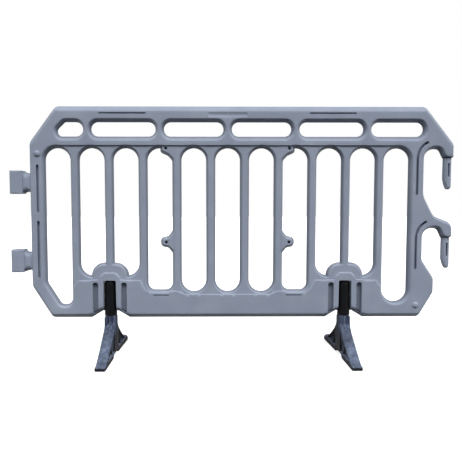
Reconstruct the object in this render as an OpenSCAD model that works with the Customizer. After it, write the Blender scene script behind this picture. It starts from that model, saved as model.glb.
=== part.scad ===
// Pedestrian barrier panel, two metres long, on two swivelling rubber feet.
// Frame: X along the panel, Y across it with the front at minus Y, Z up from the ground.
// The origin is on the ground, in the middle of the panel's whole length and thickness.

/* [Panel outline] */
// height of the top edge above the ground
panel_top = 1123; // [1000:1:1250]
// height of the bottom edge above the ground
panel_bottom = 172; // [168:1:200]
// thickness of rails, stiles and beam
frame_thickness = 56; // [50:1:70]
// thickness of the upright bars
bar_thickness = 44; // [30:1:48]
// width of a stile between its two parting lines
stile_width = 71.5; // [60:0.5:90]
// run of the corner chamfer at the top left
chamfer_left_run = 119; // [60:1:160]
// drop of the corner chamfer at the top left
chamfer_left_drop = 161; // [80:1:200]
// run of the corner chamfer at the bottom left
chamfer_low_run = 90; // [40:1:140]
// rise of the corner chamfer at the bottom left
chamfer_low_rise = 144; // [60:1:200]
// how far the top bevel comes down on each face
top_bevel = 22; // [5:1:30]
// how far the bottom bevel comes up on each face
bottom_bevel = 18; // [5:1:30]
// how far the bevel on the upright outer edges comes in
side_bevel = 12; // [5:1:16]
// slope of the moulding draft at every opening
draft = 0.45; // [0.2:0.05:0.6]

/* [Bars and openings] */
// centre to centre distance of the upright bars
bar_pitch = 152; // [120:1:180]
// number of upright bars
bar_count = 10; // [10:2:10]
// width of a bar at the parting line
bar_width = 41.5; // [30:0.5:60]
// height of the round crowns of the tall gaps
crown_z = 937; // [900:1:960]
// bottom of the three middle gaps
gap_floor_mid = 292; // [280:1:320]
// bottom of the gaps beside the middle three
gap_floor_side = 300; // [285:1:330]
// bottom of the gaps over the feet
gap_floor_foot = 364; // [350:1:380]
// bottom of the gap at the socket end
gap_floor_socket = 233; // [220:1:260]
// bottom of the gap at the hook end
gap_floor_hook = 244; // [220:1:260]
// height of the slots in the top rail
slot_height = 63; // [50:1:80]
// height of the middle of the slots
slot_z = 1021; // [1000:0.5:1040]
// width of the webs between the slots
slot_web = 37.5; // [25:0.5:60]
// end of the slot row at the socket end
slot_row_left = 765; // [700:0.5:800]
// end of the slot row at the hook end
slot_row_right = 878; // [800:1:900]

/* [Hooks and sockets] */
// how far the hooks stand out from the stile
hook_reach = 132.75; // [110:0.25:150]
// height of the shoulder of the upper hook
hook_upper_z = 893; // [860:1:920]
// height of the shoulder of the lower hook
hook_lower_z = 535; // [500:1:560]
// radius of the round mouth under each hook
mouth_r = 43; // [35:0.5:50]
// radius of a hook pin
pin_r = 18.5; // [14:0.5:20]
// length of a hook pin below the shoulder
pin_length = 139; // [100:1:160]
// radius of the root of a hook pin inside the hook
pin_root_r = 11; // [8:0.5:13]
// length of the root of a hook pin inside the hook
pin_root_length = 36; // [20:1:42]
// radial room of a hook pin in a neighbouring socket
socket_room = 4; // [1:0.5:6]
// height of a socket
socket_height = 105; // [80:1:120]
// how far the sockets stand out from the stile
socket_reach = 83.75; // [75:0.25:110]
// distance from the outer face of a socket to the middle of its bore
socket_bore_inset = 36; // [30:1:45]
// thickness of a socket across the panel
socket_depth = 60; // [56:1:70]
// bottom of the upper socket
socket_upper_z = 733; // [700:1:760]
// bottom of the lower socket
socket_lower_z = 380; // [350:1:400]

/* [Sign board ears] */
// distance between the holes along the panel
ear_span = 552; // [500:1:600]
// height of the upper pair of holes
ear_upper_z = 936; // [900:1:950]
// distance between the pairs of holes
ear_drop = 420; // [380:1:450]
// radius of a hole
ear_hole_r = 6.5; // [3:0.5:7]
// radius of an ear's round tip
ear_r = 14; // [10:0.5:18]
// how far an ear reaches beyond its hole
ear_reach = 26; // [22:0.5:30]
// thickness of an ear
ear_thickness = 40; // [20:1:42]
// depth of a hole, which stays closed at the back
ear_hole_depth = 30; // [22:1:36]

/* [Dome plugs] */
// radius of the dome
dome_r = 15; // [10:0.5:18]
// height of the dome over the face
dome_height = 8; // [4:0.5:10]
// radius of the plug behind the dome
plug_r = 8; // [5:0.5:10]
// depth of the plug in the panel
plug_depth = 16; // [8:1:20]

/* [Feet] */
// length of a foot on the ground
foot_length = 500; // [400:5:600]
// width of a foot at its front toe
front_width = 46; // [40:1:60]
// width of a foot at its rear toe
rear_width = 69; // [50:1:80]
// radius of the neck of a foot
neck_r = 26.5; // [25:0.5:30]
// height of the shoulder of a foot
foot_top = 183; // [170:1:185]
// height of the front toe
toe_height = 18; // [12:1:30]
// height of the rear toe
rear_toe_height = 25; // [12:1:32]
// height of the wide base under the side pockets
base_height = 22; // [18:1:30]
// depth of the pocket on each side of a foot
foot_pocket = 8; // [3:0.5:14]
// height of the arch under the middle of a foot
arch_rise = 15; // [2:0.5:20]

/* [Swivel] */
// radius of the post at its foot
post_r_low = 28; // [27:0.1:32]
// radius of the post at its top
post_r_high = 26.3; // [22:0.1:28]
// height of the roof over the post
roof_z = 342; // [335:1:350]
// room between post and window sides
window_room = 1.2; // [0.6:0.1:3]
// radius of the bolt shank
bolt_r = 8; // [6:0.5:10]
// running clearance of the post on the bolt
running_clearance = 0.06; // [0.02:0.01:0.1]
// rest gap between parts that turn on each other
rest_gap = 0.3; // [0.2:0.05:0.5]
// thickness of the thrust washer
thrust_thickness = 3; // [2:0.5:5]
// radius of the threaded insert
insert_r = 13; // [11:0.5:15]
// length of the threaded insert
insert_length = 52; // [30:1:60]
// width across flats of the bolt head
head_flats = 24; // [19:1:30]
// height of the bolt head
head_height = 10; // [6:1:14]
// radius of the head washer
washer_r = 15; // [14:0.5:17]
// thickness of the head washer
washer_thickness = 3; // [2:0.5:4]
// thickness of the spring washer
spring_thickness = 4; // [3:0.5:5]
// height of the roof of the bolt recess in the foot
recess_z = 44; // [34:1:60]
// radius of the bolt recess in the foot
recess_r = 18.5; // [17:0.5:22]

/* [Hidden] */

half_frame = frame_thickness / 2;
half_bar = bar_thickness / 2;
cut_half = half_frame + 4;
gap_width = bar_pitch - bar_width;
gap_r = gap_width / 2;
stile_inner = (bar_count + 1) / 2 * bar_pitch - bar_width / 2;
stile_outer = stile_inner + stile_width;
hook_tip_x = stile_outer + hook_reach;
socket_tip_x = -stile_outer - socket_reach;
frame_shift = -(hook_tip_x + socket_tip_x) / 2;
chamfer_right_x = 889;
chamfer_right_drop = 166;
flank_x = stile_outer + 55;
pin_x = hook_tip_x - 28;
mouth_top_upper = hook_upper_z + 41;
mouth_top_lower = hook_lower_z + 43;
arc_steps = 8;
foot_x = 3.5 * bar_pitch;
sign_x = ear_span / 2;
ear_bar = sign_x - 1.5 * bar_pitch;
ear_edge = ear_bar - bar_width / 2;
ear_lower_z = ear_upper_z - ear_drop;
socket_x = socket_tip_x + socket_bore_inset;
socket_bore_r = pin_r + socket_room;
post_top = roof_z - thrust_thickness - rest_gap;
insert_top = roof_z + insert_length;
washer_top = recess_z - rest_gap;
head_top = washer_top - washer_thickness - spring_thickness;
spigot_r = 20;
spigot_length = 25;
grey = [0.47, 0.49, 0.54];
black = [0.05, 0.05, 0.06];
rubber = [0.13, 0.14, 0.17];
steel = [0.6, 0.61, 0.63];

// Outline of the panel, clockwise from the lower end of the top left chamfer.
// Each corner: along, height, radius of the corner, bevel of the edge that leaves it.
corners = [
    [-stile_outer, panel_top - chamfer_left_drop, 40, 17],
    [-stile_outer + chamfer_left_run, panel_top, 34, top_bevel],
    [chamfer_right_x, panel_top, 34, 18],
    [hook_tip_x, panel_top - chamfer_right_drop, 22, side_bevel],
    [hook_tip_x, hook_upper_z, 11, 8],
    [pin_x - pin_r - 4, hook_upper_z, 3, side_bevel],
    [stile_outer + 62, mouth_top_upper, 22, side_bevel],
    [stile_outer, mouth_top_upper, mouth_r - 2, side_bevel],
    [stile_outer, hook_lower_z + 191, 87, side_bevel],
    [stile_outer + 47, hook_lower_z + 99, 40, side_bevel],
    [hook_tip_x, hook_lower_z + 65, 36, side_bevel],
    [hook_tip_x, hook_lower_z, 11, 8],
    [pin_x - pin_r - 4, hook_lower_z, 3, side_bevel],
    [stile_outer + 63, mouth_top_lower, 26, side_bevel],
    [stile_outer, mouth_top_lower, mouth_r - 1, side_bevel],
    [stile_outer, hook_lower_z - 102, 30, side_bevel],
    [flank_x, hook_lower_z - 185, 30, side_bevel],
    [flank_x, panel_bottom + 112, 36, 16],
    [flank_x - 66, panel_bottom, 26, bottom_bevel],
    [-stile_outer + chamfer_low_run, panel_bottom, 26, 16],
    [-stile_outer, panel_bottom + chamfer_low_rise, 44, side_bevel]
];
corner_count = len(corners);

function spot(i) = corners[(i + corner_count) % corner_count];
function place(i) = [spot(i)[0], spot(i)[1]];
function way(a, b) = (b - a) / norm(b - a);
function inward(a, b) = [way(a, b)[1], -way(a, b)[0]];
function cross2(a, b) = a[0] * b[1] - a[1] * b[0];
function moved_corner(p, n1, n2, s1, s2) =
    p + [s1 * n2[1] - s2 * n1[1], s2 * n1[0] - s1 * n2[0]] / cross2(n1, n2);
// Corner i moved inwards by the bevels of its two edges, for the outline on the faces.
function face_corner(i) = moved_corner(
    place(i), inward(place(i - 1), place(i)), inward(place(i), place(i + 1)), spot(i - 1)[3], spot(i)[3]);
function is_outer(i) = cross2(way(place(i - 1), place(i)), way(place(i), place(i + 1))) < 0;
function face_radius(i) =
    is_outer(i) ? max(spot(i)[2] - (spot(i)[3] + spot(i - 1)[3]) / 2, 2) : spot(i)[2] + spot(i)[3];
function turn_of(a, p, b) = acos(way(a, p) * way(p, b));
function arc_point(c, from, to, t) = c + [
    cos(t) * from[0] + sin(t) * to[0],
    cos(t) * from[1] + sin(t) * to[1]
];
// Points of a rounded corner at p, between its neighbours a and b.
function round_corner(a, p, b, r) =
    let (turn = turn_of(a, p, b), side = cross2(way(a, p), way(p, b)) < 0 ? 1 : -1,
        start = p - way(a, p) * r * tan(turn / 2), n = inward(a, p) * side, c = start + n * r)
    [for (k = [0:arc_steps]) arc_point(c, -n * r, way(a, p) * r, turn * k / arc_steps)];
mid_ring = [
    for (i = [0:corner_count - 1])
        each round_corner(place(i - 1), place(i), place(i + 1), spot(i)[2])
];
face_ring = [
    for (i = [0:corner_count - 1])
        each round_corner(face_corner(i - 1), face_corner(i), face_corner(i + 1), face_radius(i))
];
ring_count = len(mid_ring);

// Bevelled outline of the panel, with a parting line all round in the middle of its thickness.
// It runs on past both faces, and the plate gives the faces.
module outline_body() {
    n = ring_count;
    beyond = cut_half / half_frame;
    far_ring = [for (i = [0:n - 1]) mid_ring[i] + (face_ring[i] - mid_ring[i]) * beyond];
    points = [
        for (p = far_ring) [p[0], -cut_half, p[1]],
        for (p = mid_ring) [p[0], 0, p[1]],
        for (p = far_ring) [p[0], cut_half, p[1]]
    ];
    sides = [
        for (ring = [0, 1], i = [0:n - 1]) let (j = (i + 1) % n)
            each [
                [ring * n + i, (ring + 1) * n + i, (ring + 1) * n + j],
                [ring * n + i, (ring + 1) * n + j, ring * n + j]
            ]
    ];
    front = [for (i = [0:n - 1]) i];
    back = [for (i = [0:n - 1]) 3 * n - 1 - i];
    polyhedron(points = points, faces = concat([front, back], sides));
}

// Part of a round cutter that is narrowest at the parting line and opens to both faces.
module round_cut(r, turn, sweep) {
    wide = r + draft * cut_half;
    rotate([90, 0, 0])
        rotate([0, 0, turn])
            rotate_extrude(angle = sweep)
                polygon([[0, -cut_half], [wide, -cut_half], [r, 0], [wide, cut_half], [0, cut_half]]);
}

// Straight cutter of the same kind, upright, of width w from z0 to z1.
module upright_cut(w, z0, z1) {
    wide = w / 2 + draft * cut_half;
    translate([0, 0, z0])
        linear_extrude(z1 - z0)
            polygon([
                [-wide, -cut_half], [wide, -cut_half], [w / 2, 0],
                [wide, cut_half], [-wide, cut_half], [-w / 2, 0]
            ]);
}

// Tall gap with a round crown and a round floor.
module tall_gap(x, floor_z) {
    translate([x, 0, crown_z - gap_r]) round_cut(gap_r, 0, 180);
    translate([x, 0, 0]) upright_cut(gap_width, floor_z + gap_r, crown_z - gap_r);
    translate([x, 0, floor_z + gap_r]) round_cut(gap_r, 180, 180);
}

// Tall gap with a round crown and a flat floor between two smaller corners.
module square_gap(x, floor_z, corner_r) {
    inner = gap_r - corner_r;
    translate([x, 0, crown_z - gap_r]) round_cut(gap_r, 0, 180);
    translate([x, 0, 0]) upright_cut(gap_width, floor_z + corner_r, crown_z - gap_r);
    for (side = [-1, 1])
        translate([x + side * inner, 0, floor_z + corner_r]) round_cut(corner_r, 180, 180);
    translate([x - inner, 0, floor_z + corner_r])
        rotate([0, 90, 0])
            linear_extrude(2 * inner)
                polygon([
                    [0, -cut_half], [corner_r + draft * cut_half, -cut_half], [corner_r, 0],
                    [corner_r + draft * cut_half, cut_half], [0, cut_half]
                ]);
}

// Gap at the socket end, whose floor is cut off by the slope of the corner chamfer.
module end_gap() {
    slope = atan(chamfer_low_run / chamfer_low_rise);
    wide = 8 * gap_width;
    intersection() {
        square_gap(-5 * bar_pitch, gap_floor_socket, 27);
        translate([-stile_inner, 0, 334])
            rotate([0, -slope, 0])
                translate([wide / 2, 0, 0])
                    upright_cut(wide, -300, 900);
    }
}

// Slot in the top rail from x0 to x1.
module rail_slot(x0, x1) {
    r = slot_height / 2;
    translate([x0 + r, 0, slot_z]) round_cut(r, 90, 180);
    translate([x0 + r, 0, slot_z])
        rotate([0, 90, 0])
            upright_cut(slot_height, 0, x1 - x0 - slot_height);
    translate([x1 - r, 0, slot_z]) round_cut(r, -90, 180);
}

// First slot, whose end is cut off by the slope of the corner chamfer.
module end_slot(x1) {
    slope = atan(chamfer_left_run / chamfer_left_drop);
    wide = bar_pitch;
    intersection() {
        rail_slot(-slot_row_left, x1);
        translate([-slot_row_left + 15.5, 0, slot_z + 11.5])
            rotate([0, slope, 0])
                translate([wide / 2, 0, 0])
                    upright_cut(wide, -wide, wide);
    }
}

module rail_slots() {
    webs = [-4.13, -2, 0, 2, 4.13] * bar_pitch;
    half_web = slot_web / 2;
    end_slot(webs[0] - half_web);
    for (i = [0:3])
        rail_slot(webs[i] + half_web, webs[i + 1] - half_web);
    rail_slot(webs[4] + half_web, slot_row_right);
}

module tall_gaps() {
    end_gap();
    for (i = [-4, -3, 3, 4])
        tall_gap(i * bar_pitch, gap_floor_foot);
    for (i = [-2, 2])
        square_gap(i * bar_pitch, gap_floor_side, 32);
    for (i = [-1:1])
        tall_gap(i * bar_pitch, gap_floor_mid);
    tall_gap(5 * bar_pitch, gap_floor_hook);
}

// Shape drawn in X and Z, carried from y0 to y1.
module across(y0, y1) {
    translate([0, y1, 0])
        rotate([90, 0, 0])
            linear_extrude(y1 - y0)
                children();
}

// Upper edge of the beam and its raised pads on the right, from the last bar to the middle.
beam_line = [
    [4.51 * bar_pitch, roof_z - 22], [4.4 * bar_pitch, roof_z + 2], [foot_x + 50, roof_z + 4],
    [foot_x + 34, roof_z + 35], [foot_x - 34, roof_z + 35], [foot_x - 50, roof_z + 4],
    [2.61 * bar_pitch, roof_z + 2], [2.42 * bar_pitch, gap_floor_side - 2],
    [2.3 * bar_pitch, gap_floor_side - 11], [1.75 * bar_pitch, gap_floor_side - 11],
    [1.61 * bar_pitch, gap_floor_side - 3], [1.44 * bar_pitch, gap_floor_side - 9],
    [1.28 * bar_pitch, gap_floor_mid - 12]
];
line_count = len(beam_line);

// Bars lie lower than the frame: this takes both faces down to them.
module bar_field() {
    reach = 5 * bar_pitch;
    rim = crown_z + 11;
    start = beam_line[0][1];
    field = [
        [-reach, rim], [reach, rim], [reach, start],
        for (i = [0:line_count - 1]) beam_line[i],
        for (i = [0:line_count - 1]) let (p = beam_line[line_count - 1 - i]) [-p[0], p[1]],
        [-reach, start]
    ];
    across(-cut_half, -half_bar) polygon(field);
    across(half_bar, cut_half) polygon(field);
}

// Arched boss over a foot, where the threaded insert is.
module boss() {
    boss_r = 62;
    half_flat = 23;
    top = roof_z + 81;
    shrink = draft * half_bar;
    for (side = [-1, 1])
        translate([side * half_flat, 0, top - boss_r])
            rotate([90, 0, 0])
                rotate_extrude()
                    polygon([
                        [0, -half_bar], [boss_r - shrink, -half_bar], [boss_r, 0],
                        [boss_r - shrink, half_bar], [0, half_bar]
                    ]);
    translate([-half_flat, 0, top - boss_r])
        rotate([0, 90, 0])
            linear_extrude(2 * half_flat)
                polygon([
                    [boss_r, -half_bar], [-boss_r + shrink, -half_bar], [-boss_r, 0],
                    [-boss_r + shrink, half_bar], [boss_r, half_bar]
                ]);
}

// Ear with a foot that spreads to the bar beside it, for the ears half way up.
module low_ear() {
    half = ear_thickness / 2;
    across(-half, half) {
        translate([ear_r - ear_reach, 1]) circle(r = ear_r);
        polygon([
            [ear_r - ear_reach, ear_r], [12, 26], [ear_edge - 4, 38], [ear_edge + 3, 54], [ear_bar, 54],
            [ear_bar, -60], [ear_edge + 3, -60], [ear_edge - 4, -43], [12, -30], [ear_r - ear_reach, 2 - ear_r]
        ]);
    }
}

// Ear in the upper corner of a gap.
module high_ear() {
    half = ear_thickness / 2;
    across(-half, half) {
        polygon([
            [-ear_reach, 20], [-ear_reach, 0], [4 - ear_reach, -7], [ear_edge - 7, -33],
            [ear_edge - 1.5, -43], [ear_edge + 3, -58], [ear_bar, -58], [ear_bar, 20]
        ]);
    }
}

module ears() {
    for (side = [0, 1])
        mirror([side, 0, 0]) {
            translate([-sign_x, 0, ear_upper_z]) high_ear();
            translate([-sign_x, 0, ear_lower_z]) low_ear();
        }
}

module ear_holes() {
    for (x = [-sign_x, sign_x], z = [ear_lower_z, ear_upper_z])
        translate([x, -ear_thickness / 2 + ear_hole_depth, z])
            rotate([90, 0, 0])
                cylinder(h = ear_hole_depth + cut_half, r = ear_hole_r);
}

// Socket beside the left stile, open at top and bottom for a neighbour's hook pin.
module socket(z) {
    wide = socket_reach - 17;
    half = socket_depth / 2;
    neck_half = half - 3;
    neck_low = z + 6;
    neck_high = z + socket_height - 10;
    cut = 14;
    translate([socket_tip_x, 0, z])
        linear_extrude(socket_height)
            polygon([
                [0, -half + 9], [7, -half], [wide - 10, -half], [wide, -half + 10],
                [wide, half - 10], [wide - 10, half], [7, half], [0, half - 9]
            ]);
    translate([socket_tip_x + wide - 12, 0, 0])
        rotate([90, 0, 90])
            linear_extrude(socket_reach - wide + 40)
                polygon([
                    [-neck_half, neck_low + cut], [-neck_half + cut, neck_low],
                    [neck_half - cut, neck_low], [neck_half, neck_low + cut],
                    [neck_half, neck_high - cut], [neck_half - cut, neck_high],
                    [-neck_half + cut, neck_high], [-neck_half, neck_high - cut]
                ]);
}

module sockets() {
    socket(socket_lower_z);
    socket(socket_upper_z);
}

module socket_bores() {
    for (z = [socket_lower_z, socket_upper_z])
        translate([socket_x, 0, z - 1])
            cylinder(h = socket_height + 2, r = socket_bore_r);
}

// Straight groove on both faces, with a slightly wider top where a bend goes on from it.
module groove(x, z0, z1, width, depth, top_width) {
    for (side = [-1, 1])
        translate([0, side * half_frame, 0])
            across(-depth, depth) {
                translate([x - width / 2, z0]) square([width, z1 - z0]);
                translate([x, z0]) circle(d = width);
                translate([x, z1]) circle(d = top_width);
            }
}

// Curved end of a groove, round the mouth of a hook.
module groove_bend(z, width, depth) {
    bend = stile_outer + mouth_r - (stile_inner + 33);
    for (side = [-1, 1])
        translate([stile_outer + mouth_r, side * half_frame, z])
            rotate([90, 0, 0])
                rotate([0, 0, 114])
                    rotate_extrude(angle = 65)
                        translate([bend - width / 2, -depth])
                            square([width, 2 * depth]);
}

module stile_grooves() {
    width = 9;
    depth = 14;
    hook_run_upper = 159;
    hook_run_lower = 136;
    left_x = -stile_inner - 32;
    right_x = stile_inner + 33;
    joint_width = width + 1;
    groove(left_x, 360, 607, width, depth, width);
    groove(left_x, 656, 857, width, depth, width);
    groove(right_x, hook_upper_z - hook_run_upper, hook_upper_z - 2, width, depth, joint_width);
    groove_bend(hook_upper_z - 2, width, depth);
    groove(right_x, hook_lower_z - hook_run_lower, hook_lower_z, width, depth, joint_width);
    groove_bend(hook_lower_z, width, depth);
}

// Bare recesses in the top rail, where labels could go.
module label_recesses() {
    depth = 1.2;
    pad_half = 85;
    lift = panel_top - top_bevel;
    for (side = [-1, 1])
        translate([0, side * half_frame, 0])
            across(-depth, depth) {
                for (x = [-3.75, 2.42] * bar_pitch)
                    translate([x, lift - 9]) square([203, 3]);
                translate([-pad_half, lift - 23]) square([2 * pad_half, 17]);
            }
}

// Window, bolt seat and side channels over one foot.
module foot_cuts() {
    low = panel_bottom - 5;
    rise = roof_z - foot_top;
    low_half = post_r_low + window_room;
    high_half = post_r_high + window_room;
    corner_r = 4;
    channel_width = 23;
    channel_depth = 18;
    across(-cut_half, cut_half) {
        polygon([
            [-low_half, low], [-high_half, roof_z - corner_r],
            [high_half, roof_z - corner_r], [low_half, low]
        ]);
        for (side = [-1, 1])
            translate([side * (high_half - corner_r), roof_z - corner_r]) circle(r = corner_r);
        translate([-high_half + corner_r, roof_z - 2 * corner_r])
            square([2 * (high_half - corner_r), 2 * corner_r]);
        polygon([[-88, low], [-86, panel_bottom], [-36, panel_bottom + 30],
            [36, panel_bottom + 30], [86, panel_bottom], [88, low]]);
    }
    translate([0, 0, roof_z - 1]) cylinder(h = insert_length + 1, r = insert_r);
    for (x = [-64, 64])
        groove(x, low - 12, roof_z - rise * 0.1, channel_width, channel_depth, channel_width);
}

// Plate with all its openings, larger than the outline that trims it.
module pierced_plate() {
    margin = 10;
    difference() {
        translate([-stile_outer - margin, -half_frame, panel_bottom - margin])
            cube([stile_outer + hook_tip_x + 2 * margin, frame_thickness, panel_top - panel_bottom + 2 * margin]);
        tall_gaps();
        rail_slots();
        bar_field();
    }
}

module barrier_panel() {
    color(grey)
        translate([frame_shift, 0, 0])
            difference() {
                union() {
                    intersection() {
                        pierced_plate();
                        outline_body();
                    }
                    for (x = [-foot_x, foot_x])
                        translate([x, 0, 0]) boss();
                    ears();
                    sockets();
                }
                for (x = [-foot_x, foot_x])
                    translate([x, 0, 0]) foot_cuts();
                ear_holes();
                socket_bores();
                stile_grooves();
                label_recesses();
                plug_seats();
                pin_seats();
            }
}

// Places of the two dome plugs, at opposite corners.
module at_dome_upper() {
    translate([-stile_outer + 42, -half_frame, 911]) children();
}

module at_dome_lower() {
    translate([stile_outer - 35, -half_frame, 230]) children();
}

module plug_seats() {
    at_dome_upper() plug_shank();
    at_dome_lower() plug_shank();
}

module plug_shank() {
    rotate([-90, 0, 0]) cylinder(h = plug_depth, r = plug_r);
}

module dome_plug() {
    ball_r = (dome_r * dome_r + dome_height * dome_height) / (2 * dome_height);
    intersection() {
        translate([0, ball_r - dome_height, 0]) sphere(r = ball_r);
        rotate([90, 0, 0]) cylinder(h = dome_height + 1, r = dome_r);
    }
    plug_shank();
}

module dome_plug_upper() {
    color(grey)
        translate([frame_shift, 0, 0])
            at_dome_upper() dome_plug();
}

module dome_plug_lower() {
    color(grey)
        translate([frame_shift, 0, 0])
            at_dome_lower() dome_plug();
}

module pin_seats() {
    for (z = [hook_lower_z, hook_upper_z])
        translate([pin_x, 0, z - 1])
            cylinder(h = pin_root_length + 1, r = pin_root_r);
}

// Pin that hangs from a hook, sloped on its inner side towards the tip.
module hook_pin(z) {
    slope_height = 45;
    nose = 14;
    translate([pin_x, 0, z]) {
        cylinder(h = pin_root_length, r = pin_root_r);
        difference() {
            union() {
                translate([0, 0, -pin_length + nose])
                    cylinder(h = pin_length - nose, r = pin_r);
                translate([0, 0, -pin_length])
                    cylinder(h = nose, r1 = pin_r - 9, r2 = pin_r);
            }
            translate([-pin_r, 0, -pin_length + slope_height])
                rotate([0, -21, 0])
                    translate([-60, -30, -120])
                        cube([60, 60, 120]);
            for (side = [-1, 1])
                translate([2, side * pin_r, -pin_length / 2 - 12])
                    cube([5, 6, 56], center = true);
        }
    }
}

module hook_pin_upper() {
    color(grey)
        translate([frame_shift, 0, 0])
            hook_pin(hook_upper_z);
}

module hook_pin_lower() {
    color(grey)
        translate([frame_shift, 0, 0])
            hook_pin(hook_lower_z);
}

// The same pieces stand at each foot, at -1 for the left and 1 for the right.
module at_foot(side) {
    translate([frame_shift + side * foot_x, 0, 0]) children();
}

module threaded_insert(side) {
    color(steel)
        at_foot(side)
            difference() {
                translate([0, 0, roof_z]) cylinder(h = insert_length, r = insert_r);
                translate([0, 0, roof_z - 1]) cylinder(h = insert_length + 2, r = bolt_r);
            }
}

module thrust_washer(side) {
    color(black)
        at_foot(side)
            translate([0, 0, roof_z - thrust_thickness])
                difference() {
                    cylinder(h = thrust_thickness, r = post_r_high - 4);
                    translate([0, 0, -1]) cylinder(h = thrust_thickness + 2, r = bolt_r + rest_gap);
                }
}

module pivot_bolt(side) {
    head_r = head_flats / 2 / cos(30);
    color(steel)
        at_foot(side) {
            translate([0, 0, head_top]) cylinder(h = insert_top - 6 - head_top, r = bolt_r);
            translate([0, 0, insert_top - 6]) cylinder(h = 3, r1 = bolt_r, r2 = bolt_r - 2);
            translate([0, 0, head_top - head_height]) cylinder(h = head_height, r = head_r, $fn = 6);
        }
}

module head_washer(side) {
    color(steel)
        at_foot(side)
            translate([0, 0, washer_top - washer_thickness])
                difference() {
                    cylinder(h = washer_thickness, r = washer_r);
                    translate([0, 0, -1]) cylinder(h = washer_thickness + 2, r = bolt_r + rest_gap);
                }
}

// Split ring between the bolt head and the flat washer.
module spring_washer(side) {
    color(steel)
        at_foot(side)
            translate([0, 0, head_top])
                difference() {
                    cylinder(h = spring_thickness, r = head_flats / 2);
                    translate([0, 0, -1]) cylinder(h = spring_thickness + 2, r = bolt_r + rest_gap);
                    translate([0, -1, -1]) cube([20, 2, spring_thickness + 2]);
                }
}

// Post that turns in the window of the panel, with a spigot down into the foot.
module swivel_post(side) {
    bevel = 5;
    color(black)
        at_foot(side)
            difference() {
                union() {
                    translate([0, 0, foot_top])
                        cylinder(h = post_top - bevel - foot_top, r1 = post_r_low, r2 = post_r_high);
                    translate([0, 0, post_top - bevel])
                        cylinder(h = bevel, r1 = post_r_high, r2 = post_r_high - bevel);
                    translate([0, 0, foot_top - spigot_length])
                        cylinder(h = spigot_length, r = spigot_r);
                }
                translate([0, 0, foot_top - spigot_length - 1])
                    cylinder(h = post_top - foot_top + spigot_length + 2, r = bolt_r + running_clearance);
            }
}

// Upper line of a foot in side view, from the neck out to a toe of the given height.
function arm_line(toe) = let (reach = foot_length / 2) [
    [0, foot_top], [neck_r - 1, foot_top], [neck_r, foot_top - 30],
    [38, 136], [56, 116], [102, 88], [152, 57], [204, toe + 10],
    [reach - 28, toe + 3], [reach - 1, toe]
];

// Side view of a foot, whose front toe is at the left.
module foot_profile() {
    reach = foot_length / 2;
    mirror([1, 0])
        polygon(concat(arm_line(toe_height), [[reach, 0], [0, 0]]));
    polygon(concat(arm_line(rear_toe_height), [[reach, 0], [0, 0]]));
}

// Hollow on the sides of a foot, between its base and the rim under its upper line.
module pocket_profile() {
    for (side = [0, 1])
        mirror([side, 0])
            polygon([[44, base_height], [44, 110], [98, 76], [148, 46], [186, base_height]]);
}

// Arch in the sole, under the middle of a foot.
module arch_profile() {
    polygon([[-80, -1], [-66, arch_rise], [30, arch_rise], [44, -1]]);
}

// Side view carried right across a foot.
module along_foot() {
    half = rear_width / 2 + 1;
    translate([-half, 0, 0])
        rotate([90, 0, 90])
            linear_extrude(2 * half)
                children();
}

// Plan view of a foot carried up to its shoulder, with its sides moved in by inset.
module foot_plan(inset) {
    reach = foot_length / 2;
    front = front_width / 2 - inset;
    neck = neck_r - 1 - inset;
    rear = rear_width / 2 - inset;
    linear_extrude(foot_top)
        polygon([
            [-front, -reach], [front, -reach], [neck, -neck_r], [neck, neck_r],
            [rear, reach], [-rear, reach], [-neck, neck_r], [-neck, -neck_r]
        ]);
}

module foot_body() {
    intersection() {
        foot_plan(foot_pocket);
        along_foot() foot_profile();
    }
    intersection() {
        foot_plan(0);
        along_foot()
            difference() {
                foot_profile();
                pocket_profile();
            }
    }
}

module foot(side) {
    color(rubber)
        at_foot(side)
            difference() {
                union() {
                    foot_body();
                    translate([0, 0, recess_z]) cylinder(h = foot_top - recess_z, r = neck_r);
                }
                along_foot() arch_profile();
                translate([0, 0, -1]) cylinder(h = recess_z + 1, r = recess_r);
                translate([0, 0, recess_z - 1]) cylinder(h = foot_top, r = bolt_r + 1);
                translate([0, 0, foot_top - spigot_length]) cylinder(h = spigot_length + 1, r = spigot_r);
            }
}

barrier_panel();
hook_pin_upper();
hook_pin_lower();
dome_plug_upper();
dome_plug_lower();
threaded_insert(-1);  // threaded_insert_left
thrust_washer(-1);  // thrust_washer_left
pivot_bolt(-1);  // pivot_bolt_left
head_washer(-1);  // head_washer_left
spring_washer(-1);  // spring_washer_left
swivel_post(-1);  // swivel_post_left
foot(-1);  // foot_left
threaded_insert(1);  // threaded_insert_right
thrust_washer(1);  // thrust_washer_right
pivot_bolt(1);  // pivot_bolt_right
head_washer(1);  // head_washer_right
spring_washer(1);  // spring_washer_right
swivel_post(1);  // swivel_post_right
foot(1);  // foot_right
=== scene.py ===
import math

import bpy
import bmesh
import numpy as np
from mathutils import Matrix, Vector, noise
from mathutils.geometry import delaunay_2d_cdt


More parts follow.
